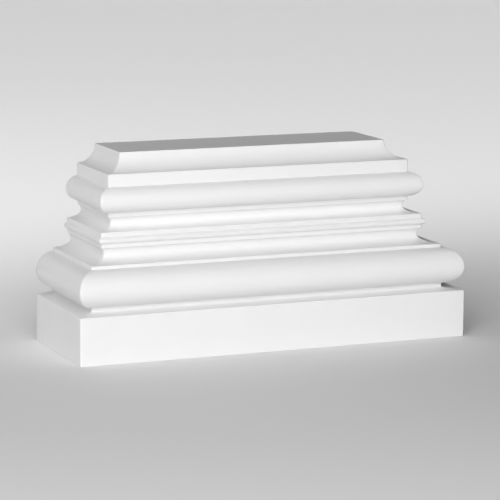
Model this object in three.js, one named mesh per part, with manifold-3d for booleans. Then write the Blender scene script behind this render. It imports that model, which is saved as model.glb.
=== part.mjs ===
import * as THREE from 'three';
import { mergeVertices } from 'three/addons/utils/BufferGeometryUtils.js';
import Module from 'manifold-3d';

// A pilaster base moulded as one block: a plinth, a large torus, two scotias parted by a bead, a
// smaller torus, a fascia and a cavetto that leads up to the seat of the shaft. The moulding runs
// along the front, returns on both sides round mitred corners, and stops flat at the wall.
// Millimetres, +Z up. The origin is under the middle of the plinth and the front faces -Y.

// Driving dimensions. An inset is measured inwards from the plinth's face, a rise is the height
// of one member, and the members are listed from the floor up.
const plinthWidth = 300;
const plinthDepth = 101.5;
const plinthRise = 34.8;
const coveRise = 1.6;
const quirkInset = 12.7;
const quirkRise = 2.7;
const lowerTorusRadius = 13.4;
const lowerFilletRise = 2.6;
const lowerScotia = { waistInset: 26.7, footRise: 5.8, headRise: 4.5 };
const beadInset = 24.2;
const underBeadRise = 3.2;
const beadRadius = 2.3;
const overBeadRise = 3.6;
const upperScotia = { waistInset: 34.9, footRise: 4.8, headRise: 4.2 };
const neckInset = 32.4;
const neckFilletRise = 3.6;
const upperTorusRadius = 9;
const fasciaRise = 9.4;
const cavetto = { run: 13.5, rise: 13.6 };

const quarterTurn = Math.PI / 2;
const arcDivisions = 10;
const overrun = 5;
const mergeTolerance = 1e-4;
const axisX = new THREE.Vector3(1, 0, 0);
const axisY = new THREE.Vector3(0, 1, 0);
const axisZ = new THREE.Vector3(0, 0, 1);

// An upright face that stands where the outline has come to.
function upright(outline, rise) {
  const { x, y } = outline.currentPoint;
  outline.lineTo(x, y + rise);
}

// A hollow quarter of an ellipse that leaves level, runs in to the given inset and ends upright.
function hollowFoot(outline, inset, rise) {
  const { x, y } = outline.currentPoint;
  outline.absellipse(x, y + rise, inset - x, rise, -quarterTurn, 0, false, 0);
}

// A hollow quarter of an ellipse that leaves upright, comes out to the given inset and ends level.
function hollowHead(outline, inset, rise) {
  const { x, y } = outline.currentPoint;
  outline.absellipse(inset, y, x - inset, rise, 0, quarterTurn, false, 0);
}

// A round that swells outwards about a centre at the given inset and ends level above it.
function swell(outline, centreInset, radius) {
  const { x, y } = outline.currentPoint;
  const startAngle = -Math.acos((x - centreInset) / radius);
  const centreHeight = y - radius * Math.sin(startAngle);
  outline.absarc(centreInset, centreHeight, radius, startAngle, quarterTurn, true);
}

// The outline of the moulding as (inset, height), from the plinth's foot up to the shaft's seat.
function mouldingOutline() {
  const outline = new THREE.Path();
  outline.moveTo(0, 0);
  upright(outline, plinthRise);
  hollowFoot(outline, quirkInset, coveRise);
  upright(outline, quirkRise);
  swell(outline, lowerTorusRadius, lowerTorusRadius);
  upright(outline, lowerFilletRise);
  hollowFoot(outline, lowerScotia.waistInset, lowerScotia.footRise);
  hollowHead(outline, beadInset, lowerScotia.headRise);
  upright(outline, underBeadRise);
  swell(outline, beadInset, beadRadius);
  upright(outline, overBeadRise);
  hollowFoot(outline, upperScotia.waistInset, upperScotia.footRise);
  hollowHead(outline, neckInset, upperScotia.headRise);
  upright(outline, neckFilletRise);
  swell(outline, neckInset, upperTorusRadius);
  upright(outline, fasciaRise);
  hollowFoot(outline, neckInset + cavetto.run, cavetto.rise);
  return outline.getPoints(arcDivisions);
}

// A section drawn out to a length, with its own x, y and length laid along the given axes.
function drawnOut(points, length, across, upwards, along) {
  const section = new THREE.Shape(points);
  const geometry = new THREE.ExtrudeGeometry(section, { depth: length, bevelEnabled: false });
  return geometry.applyMatrix4(new THREE.Matrix4().makeBasis(across, upwards, along));
}

// The front moulding with its flat back, drawn out along X past both ends of the plinth.
function frontRun(outline) {
  const seatHeight = outline.at(-1).y;
  const back = [new THREE.Vector2(plinthDepth, seatHeight), new THREE.Vector2(plinthDepth, 0)];
  const length = plinthWidth + 2 * overrun;
  const run = drawnOut([...outline, ...back], length, axisY, axisZ, axisX);
  return run.translate(-length / 2, -plinthDepth / 2, 0);
}

// The two side mouldings back to back, drawn out along Y past the front and the wall.
function sideReturns(outline) {
  const halfWidth = plinthWidth / 2;
  const left = outline.map(({ x, y }) => new THREE.Vector2(x - halfWidth, y));
  const right = outline.map(({ x, y }) => new THREE.Vector2(halfWidth - x, y)).reverse();
  const length = plinthDepth + 2 * overrun;
  const returns = drawnOut([...left, ...right], length, axisX, axisZ, axisY.clone().negate());
  return returns.translate(0, length / 2, 0);
}

const wasm = await Module();
wasm.setup();

// A closed geometry as a solid that can be cut, with its shared corners merged.
function solidOf(geometry) {
  geometry.deleteAttribute('normal');
  geometry.deleteAttribute('uv');
  const merged = mergeVertices(geometry, mergeTolerance);
  const vertProperties = new Float32Array(merged.attributes.position.array);
  const triVerts = new Uint32Array(merged.index.array);
  return new wasm.Manifold(new wasm.Mesh({ numProp: 3, vertProperties, triVerts }));
}

// A solid as a flat-shaded geometry.
function geometryOf(solid) {
  const { vertProperties, triVerts } = solid.getMesh();
  const indexed = new THREE.BufferGeometry();
  indexed.setAttribute('position', new THREE.BufferAttribute(vertProperties, 3));
  indexed.setIndex(new THREE.BufferAttribute(triVerts, 1));
  const geometry = indexed.toNonIndexed();
  geometry.computeVertexNormals();
  return geometry;
}

// The block is what the front run and the side returns share, so the corners come out mitred.
function pilasterBase() {
  const outline = mouldingOutline();
  const block = solidOf(frontRun(outline)).intersect(solidOf(sideReturns(outline)));
  const primedWhite = new THREE.MeshStandardMaterial({ color: 0xf1f1f0, roughness: 0.6, metalness: 0 });
  const mesh = new THREE.Mesh(geometryOf(block), primedWhite);
  mesh.name = 'pilaster_base';
  return mesh;
}

const base = new THREE.Group();
base.add(pilasterBase());

export default base;
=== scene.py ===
import math

import bpy
import numpy as np
from mathutils import Matrix, Vector


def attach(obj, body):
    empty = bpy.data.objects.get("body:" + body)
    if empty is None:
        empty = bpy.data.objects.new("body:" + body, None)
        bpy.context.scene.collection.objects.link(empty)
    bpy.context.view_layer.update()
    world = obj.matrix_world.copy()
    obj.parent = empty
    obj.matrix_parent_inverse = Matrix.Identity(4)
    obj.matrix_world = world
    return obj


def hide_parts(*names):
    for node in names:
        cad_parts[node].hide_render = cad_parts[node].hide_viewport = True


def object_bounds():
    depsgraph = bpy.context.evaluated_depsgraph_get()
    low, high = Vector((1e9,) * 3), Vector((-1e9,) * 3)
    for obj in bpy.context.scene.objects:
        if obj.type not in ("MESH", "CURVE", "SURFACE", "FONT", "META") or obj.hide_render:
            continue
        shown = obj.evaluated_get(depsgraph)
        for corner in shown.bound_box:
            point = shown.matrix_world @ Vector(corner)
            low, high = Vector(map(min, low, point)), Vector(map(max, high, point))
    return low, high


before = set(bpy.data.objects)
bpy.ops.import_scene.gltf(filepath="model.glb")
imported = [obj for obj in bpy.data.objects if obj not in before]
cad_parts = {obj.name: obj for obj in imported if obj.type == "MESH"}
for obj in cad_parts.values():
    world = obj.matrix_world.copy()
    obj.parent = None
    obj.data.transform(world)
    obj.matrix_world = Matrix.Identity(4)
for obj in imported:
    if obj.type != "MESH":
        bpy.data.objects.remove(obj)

# The CAD box, which gives the plinth's width and depth and the height of the shaft's seat
CAD_LOW, CAD_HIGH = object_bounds()
MM = 0.001
HALF_WIDTH = (CAD_HIGH.x - CAD_LOW.x) / 2
HALF_DEPTH = (CAD_HIGH.y - CAD_LOW.y) / 2
SEAT_HEIGHT = CAD_HIGH.z

# Members of the moulding from the floor up: insets from the plinth's face, and rises
PLINTH_RISE = 34.8 * MM
COVE_RISE = 1.6 * MM
QUIRK_INSET = 12.7 * MM
QUIRK_RISE = 2.7 * MM
LOWER_TORUS_RADIUS = 13.4 * MM
LOWER_FILLET_RISE = 2.6 * MM
LOWER_WAIST_INSET = 26.7 * MM
LOWER_SCOTIA_FOOT = 5.8 * MM
LOWER_SCOTIA_HEAD = 4.5 * MM
BEAD_INSET = 24.2 * MM
UNDER_BEAD_RISE = 3.2 * MM
BEAD_RADIUS = 2.3 * MM
OVER_BEAD_RISE = 3.6 * MM
UPPER_WAIST_INSET = 34.9 * MM
UPPER_SCOTIA_FOOT = 4.8 * MM
UPPER_SCOTIA_HEAD = 4.2 * MM
NECK_INSET = 32.4 * MM
NECK_FILLET_RISE = 3.6 * MM
UPPER_TORUS_RADIUS = 9.0 * MM
FASCIA_RISE = 9.4 * MM
CAVETTO_RUN = 13.5 * MM

# Softness of the primed edges, and how finely the surface is divided
ARRIS_SOFTNESS = 0.45 * MM
BELL_REACH = 4.0
MITRE_RADIUS = 0.8 * MM
WALL_EDGE_RADIUS = 0.6 * MM
FACE_LAP = 8.0 * MM
TRAIL_STEP = 0.05 * MM
LONGEST_STEP = 2.5 * MM
TURN_PER_STEP = math.radians(6.0)
ARC_POINTS = 90
MITRE_STEPS = 8
WALL_EDGE_STEPS = 4
FRONT_STEPS = 48
RETURN_STEPS = 18
BACK_STEPS = 24

# The primer: sizes of its patterns per metre, and how far tone, sheen and relief vary
CLOUD_SCALE = 26.0
CLOUD_BAND = (0.3, 0.7)
DULL_WHITE = (0.855, 0.855, 0.855, 1.0)
CLEAR_WHITE = (0.868, 0.868, 0.867, 1.0)
MIST_SCALE = 420.0
SHEEN_BAND = (0.38, 0.52)
PEEL_SCALE = 900.0
PEEL_STRENGTH = 0.25
PEEL_DEPTH = 0.06 * MM

# The paper that the base stands on
FLOOR_REACH = 12.0
PALE_GREY = (0.88, 0.88, 0.88, 1.0)
PAPER_ROUGHNESS = 0.9
PAPER_GLOSS = 0.1

# The photograph's camera, with its picture 500 pixels wide
PICTURE_PIXELS = 500
FOCAL_PIXELS = 2457.3
SENSOR_WIDTH = 36.0
CAMERA_PLACE = Vector((-0.68262, -1.64615, 0.37260))
CAMERA_HEADING = math.radians(22.483)
CAMERA_DIP = math.radians(9.764)
CAMERA_ROLL = math.radians(0.262)
NEAREST_SEEN = 0.05
FARTHEST_SEEN = 60.0

# Lights: bearing from the front and climb in degrees, distance, width and height in metres, watts.
# A bearing is positive to the right, so a negative one is to the left of the front.
BASE_MIDDLE = Vector((0.0, 0.0, SEAT_HEIGHT / 2))
SOFT_BOXES = (
    ("key", -25.0, 12.0, 2.6, 2.2, 1.2, 27.7),
    ("left", -48.0, 22.0, 2.6, 2.2, 1.2, 10.4),
    ("upper", -25.0, 30.0, 1.6, 1.2, 0.8, 10.6),
    ("high_left", -72.0, 44.0, 1.6, 1.2, 0.8, 0.9),
    ("wall_left", -140.0, 25.0, 1.6, 1.2, 0.8, 2.2),
)
SURROUND_STRENGTH = 0.05

# The light over the floor behind the base, which shines straight down in a limited beam
WASH_PLACE = Vector((0.8, 2.45, 0.9))
WASH_SIZE = (3.8, 4.4)
WASH_POWER = 35.0
WASH_SPREAD = math.radians(66.0)


def upright(start, rise):
    """A straight stretch that climbs by rise at the inset where the last member ended."""
    return start + np.array([[0.0, rise]])


def hollow_foot(start, inset, rise):
    """A hollow quarter ellipse: inset grows with the sine and height with one less the cosine."""
    turn = np.linspace(0.0, math.pi / 2, ARC_POINTS)[1:]
    run = inset - start[0]
    return np.column_stack((start[0] + run * np.sin(turn), start[1] + rise * (1.0 - np.cos(turn))))


def hollow_head(start, inset, rise):
    """A hollow quarter ellipse that comes out again: inset falls to its end with the cosine of the
    turn, and height grows with its sine."""
    turn = np.linspace(0.0, math.pi / 2, ARC_POINTS)[1:]
    run = start[0] - inset
    return np.column_stack((inset + run * np.cos(turn), start[1] + rise * np.sin(turn)))


def swell(start, centre_inset, radius):
    """A round about a centre at centre_inset, from where the last member meets it up to its crown:
    inset falls with the cosine of the turn and height grows with its sine."""
    first = math.acos((centre_inset - start[0]) / radius)
    turn = np.linspace(-first, math.pi / 2, 2 * ARC_POINTS)[1:]
    centre_height = start[1] + radius * math.sin(first)
    return np.column_stack((centre_inset - radius * np.cos(turn), centre_height + radius * np.sin(turn)))


def cavetto(start, run):
    """A hollow quarter ellipse from the fascia's top up to the seat's edge."""
    return hollow_foot(start, start[0] + run, SEAT_HEIGHT - start[1])


MEMBERS = (
    (upright, PLINTH_RISE),
    (hollow_foot, QUIRK_INSET, COVE_RISE),
    (upright, QUIRK_RISE),
    (swell, LOWER_TORUS_RADIUS, LOWER_TORUS_RADIUS),
    (upright, LOWER_FILLET_RISE),
    (hollow_foot, LOWER_WAIST_INSET, LOWER_SCOTIA_FOOT),
    (hollow_head, BEAD_INSET, LOWER_SCOTIA_HEAD),
    (upright, UNDER_BEAD_RISE),
    (swell, BEAD_INSET, BEAD_RADIUS),
    (upright, OVER_BEAD_RISE),
    (hollow_foot, UPPER_WAIST_INSET, UPPER_SCOTIA_FOOT),
    (hollow_head, NECK_INSET, UPPER_SCOTIA_HEAD),
    (upright, NECK_FILLET_RISE),
    (swell, NECK_INSET, UPPER_TORUS_RADIUS),
    (upright, FASCIA_RISE),
    (cavetto, CAVETTO_RUN),
)


def moulding_trail():
    """The crisp section as rows of (inset of the moulding, inset of the wall face, height).

    The members are joined end to end, and the trail laps in under the plinth and in over the seat."""
    outline = np.zeros((1, 2))
    for member, *sizes in MEMBERS:
        outline = np.vstack((outline, member(outline[-1], *sizes)))
    wall = np.zeros(len(outline))
    trail = np.column_stack((outline[:, 0], wall, outline[:, 1]))
    lap = np.array([FACE_LAP, FACE_LAP, 0.0])
    return np.vstack((trail[0] + lap, trail, trail[-1] + lap))


def softened(trail):
    """The trail walked in equal short steps and averaged under a bell curve, as a coat of primer
    rounds every edge and corner, then thinned so that steps are short where it turns fastest."""
    length = np.append(0.0, np.cumsum(np.linalg.norm(np.diff(trail, axis=0), axis=1)))
    walk = np.arange(0.0, length[-1], TRAIL_STEP)
    even = np.column_stack([np.interp(walk, length, column) for column in trail.T])
    half = round(BELL_REACH * ARRIS_SOFTNESS / TRAIL_STEP)
    reach = TRAIL_STEP * np.arange(-half, half + 1)
    bell = np.exp(-0.5 * (reach / ARRIS_SOFTNESS) ** 2)
    soft = np.column_stack([np.convolve(column, bell / bell.sum(), mode="valid") for column in even.T])
    heading = np.unwrap(np.arctan2(np.gradient(soft[:, 2]), np.gradient(soft[:, 0])))
    crowding = TRAIL_STEP / LONGEST_STEP + np.abs(np.gradient(heading)) / TURN_PER_STEP
    count = np.append(0.0, np.cumsum(crowding[1:]))
    picks = np.linspace(0.0, count[-1], math.ceil(count[-1]) + 1)
    return np.column_stack([np.interp(picks, count, column) for column in soft.T])


def plan_walk():
    """The walk round the plan, anticlockwise from the wall's left edge, as arrays of the corner left,
    the corner ahead, the share of the way between them and the bearing that the face looks to."""
    steps_round = (WALL_EDGE_STEPS, MITRE_STEPS, MITRE_STEPS, WALL_EDGE_STEPS)
    steps_along = (RETURN_STEPS, FRONT_STEPS, RETURN_STEPS, BACK_STEPS)
    legs = []
    for corner in range(4):
        ahead = (corner + 1) % 4
        bearing = math.pi / 2 * (corner + 1)
        turn = np.linspace(bearing, bearing + math.pi / 2, steps_round[corner] + 1)
        here = np.full(len(turn), corner)
        legs.append(np.column_stack((here, here, np.zeros(len(turn)), turn)))
        share = np.linspace(0.0, 1.0, steps_along[corner] + 1)[1:-1]
        same = np.ones(len(share))
        legs.append(np.column_stack((same * corner, same * ahead, share, same * turn[-1])))
    left, ahead, share, bearing = np.vstack(legs).T
    return left.astype(int), ahead.astype(int), share, bearing


def base_surface():
    """Corner points of the base as an array of levels by stations round the plan.

    Each level is a rectangle set in by the moulding on three sides, with rounded corners: a station is
    the corner's centre plus its radius along the bearing, or a share of the way between two of those."""
    inset, wall, height = softened(moulding_trail()).T
    left, ahead, share, bearing = plan_walk()
    radius = np.array([WALL_EDGE_RADIUS, MITRE_RADIUS, MITRE_RADIUS, WALL_EDGE_RADIUS])
    side = np.array([-1.0, -1.0, 1.0, 1.0])
    centre_x = side * (HALF_WIDTH - inset[:, None] - radius)
    centre_front = -HALF_DEPTH + inset[:, None] + radius
    centre_back = HALF_DEPTH - wall[:, None] - radius
    centre_y = np.where(np.arange(4) % 3 == 0, centre_back, centre_front)
    look_x, look_y = np.cos(bearing), np.sin(bearing)
    x = (1 - share) * (centre_x[:, left] + radius[left] * look_x)
    x += share * (centre_x[:, ahead] + radius[ahead] * look_x)
    y = (1 - share) * (centre_y[:, left] + radius[left] * look_y)
    y += share * (centre_y[:, ahead] + radius[ahead] * look_y)
    z = np.broadcast_to(height[:, None], x.shape)
    return np.stack((x, y, z), axis=2)


def moulded_base(name, grid):
    """A mesh of quads between neighbouring levels and stations, with one flat face at each end."""
    levels, stations = grid.shape[:2]
    number = np.arange(levels * stations).reshape(levels, stations)
    low, high = number[:-1], number[1:]
    quads = np.stack((low, np.roll(low, -1, 1), np.roll(high, -1, 1), high), axis=2).reshape(-1, 4)
    faces = quads.tolist() + [number[0, ::-1].tolist(), number[-1].tolist()]
    mesh = bpy.data.meshes.new(name)
    mesh.from_pydata(grid.reshape(-1, 3).tolist(), [], faces)
    mesh.shade_smooth()
    mesh.validate()
    piece = bpy.data.objects.new(name, mesh)
    bpy.context.scene.collection.objects.link(piece)
    return piece


def node(tree, kind, **inputs):
    """A shader node with its named inputs set to values or linked from other sockets."""
    made = tree.nodes.new(kind)
    for label, value in inputs.items():
        socket = made.inputs[label.replace("_", " ")]
        if isinstance(value, bpy.types.NodeSocket):
            tree.links.new(value, socket)
        else:
            socket.default_value = value
    return made


def primed_white():
    """Sprayed white primer on a smooth moulding: cloudy tone, orange peel and uneven sheen."""
    material = bpy.data.materials.new("primed_white")
    material.use_nodes = True
    tree = material.node_tree
    shader = tree.nodes["Principled BSDF"]
    place = tree.nodes.new("ShaderNodeTexCoord").outputs["Object"]
    clouds = node(tree, "ShaderNodeTexNoise", Vector=place, Scale=CLOUD_SCALE, Detail=3.0, Roughness=0.5)
    tone = tree.nodes.new("ShaderNodeValToRGB")
    for stop, position, colour in zip(tone.color_ramp.elements, CLOUD_BAND, (DULL_WHITE, CLEAR_WHITE)):
        stop.position = position
        stop.color = colour
    tree.links.new(clouds.outputs["Fac"], tone.inputs["Fac"])
    tree.links.new(tone.outputs["Color"], shader.inputs["Base Color"])
    mist = node(tree, "ShaderNodeTexNoise", Vector=place, Scale=MIST_SCALE, Detail=2.0, Roughness=0.6)
    sheen = node(tree, "ShaderNodeMapRange", Value=mist.outputs["Fac"])
    sheen.inputs["To Min"].default_value, sheen.inputs["To Max"].default_value = SHEEN_BAND
    tree.links.new(sheen.outputs["Result"], shader.inputs["Roughness"])
    peel = node(tree, "ShaderNodeTexNoise", Vector=place, Scale=PEEL_SCALE, Detail=2.0, Roughness=0.45)
    relief = node(tree, "ShaderNodeBump", Strength=PEEL_STRENGTH, Distance=PEEL_DEPTH)
    tree.links.new(peel.outputs["Fac"], relief.inputs["Height"])
    tree.links.new(relief.outputs["Normal"], shader.inputs["Normal"])
    return material


def pale_floor():
    """A wide level sheet under the base, of one soft pale tone."""
    corners = FLOOR_REACH * np.array([(-1, -1, 0), (1, -1, 0), (1, 1, 0), (-1, 1, 0)], float)
    mesh = bpy.data.meshes.new("floor")
    mesh.from_pydata(corners.tolist(), [], [(0, 1, 2, 3)])
    floor = bpy.data.objects.new("floor", mesh)
    bpy.context.scene.collection.objects.link(floor)
    material = bpy.data.materials.new("pale_paper")
    material.use_nodes = True
    shader = material.node_tree.nodes["Principled BSDF"]
    shader.inputs["Base Color"].default_value = PALE_GREY
    shader.inputs["Roughness"].default_value = PAPER_ROUGHNESS
    shader.inputs["Specular IOR Level"].default_value = PAPER_GLOSS
    mesh.materials.append(material)


def area_light(name, place, away, width, height, power):
    """A flat soft light at a place, which shines back along the direction away."""
    light = bpy.data.lights.new(name, "AREA")
    light.shape = "RECTANGLE"
    light.size = width
    light.size_y = height
    light.energy = power
    lamp = bpy.data.objects.new(name, light)
    lamp.location = place
    lamp.rotation_mode = "QUATERNION"
    lamp.rotation_quaternion = away.to_track_quat("Z", "Y")
    bpy.context.scene.collection.objects.link(lamp)
    return light


def soft_box(name, bearing, climb, distance, width, height, power):
    """A soft light that faces the base, placed by its bearing from the front and its climb."""
    turn, rise = math.radians(bearing), math.radians(climb)
    away = Vector((math.sin(turn) * math.cos(rise), -math.cos(turn) * math.cos(rise), math.sin(rise)))
    area_light(name, BASE_MIDDLE + distance * away, away, width, height, power)


def studio():
    """Broad soft lights from the front and the left, a wash on the floor and a dim surround."""
    for sizes in SOFT_BOXES:
        soft_box(*sizes)
    wash = area_light("floor_wash", WASH_PLACE, Vector((0.0, 0.0, 1.0)), *WASH_SIZE, WASH_POWER)
    wash.spread = WASH_SPREAD
    world = bpy.data.worlds.new("surround")
    world.use_nodes = True
    world.node_tree.nodes["Background"].inputs["Color"].default_value = (1.0, 1.0, 1.0, 1.0)
    world.node_tree.nodes["Background"].inputs["Strength"].default_value = SURROUND_STRENGTH
    bpy.context.scene.world = world
    bpy.context.scene.view_settings.view_transform = "Standard"


def photo_camera():
    """The camera stood where the photograph was taken: turned right by the heading, tipped down by the
    dip, and rolled, with the lens that the focal length in pixels gives on its sensor."""
    lens = bpy.data.cameras.new("camera")
    lens.sensor_width = SENSOR_WIDTH
    lens.lens = SENSOR_WIDTH * FOCAL_PIXELS / PICTURE_PIXELS
    lens.clip_start = NEAREST_SEEN
    lens.clip_end = FARTHEST_SEEN
    camera = bpy.data.objects.new("camera", lens)
    turn = Matrix.Rotation(-CAMERA_HEADING, 4, "Z")
    tip = Matrix.Rotation(math.pi / 2 - CAMERA_DIP, 4, "X")
    roll = Matrix.Rotation(CAMERA_ROLL, 4, "Z")
    camera.matrix_world = Matrix.Translation(CAMERA_PLACE) @ turn @ tip @ roll
    bpy.context.scene.collection.objects.link(camera)
    bpy.context.scene.camera = camera


photo_camera()
base = moulded_base("moulded_base", base_surface())
base.data.materials.append(primed_white())
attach(base, "root")
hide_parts("pilaster_base")
pale_floor()
studio()
